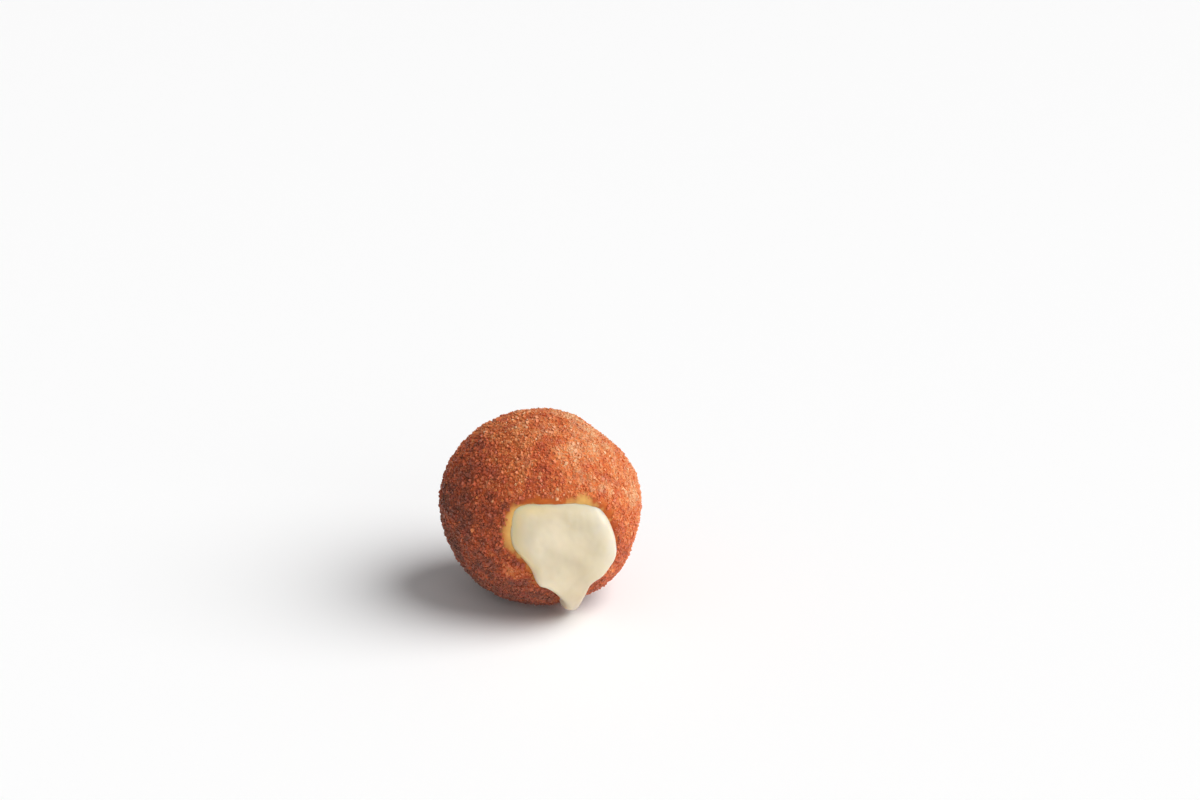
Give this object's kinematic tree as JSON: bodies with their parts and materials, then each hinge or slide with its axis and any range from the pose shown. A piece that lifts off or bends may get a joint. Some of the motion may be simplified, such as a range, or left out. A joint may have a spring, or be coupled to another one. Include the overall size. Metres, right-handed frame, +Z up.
{
  "type": "filled doughnut hole",
  "caption": "Round bite-size ball of fried dough coated in cinnamon sugar, with a torn mouth in its side and vanilla cream running out of it in one thick drip.",
  "frame": {"origin": "centre of the small flat spot the ball rests on, on the floor", "axes": "+Z up; -Y is the side with the mouth and the cream; +X is to the right as the mouth is looked at"},
  "size_m": [0.036, 0.0362, 0.0345],
  "materials": {
    "sugared_dough": "rough, gritty, with glints of sugar",
    "vanilla_cream": "smooth and softly glossy"
  },
  "bodies": {
    "root": {"dough_ball": "sugared_dough", "cream_filling": "vanilla_cream"}
  },
  "joints": []
}
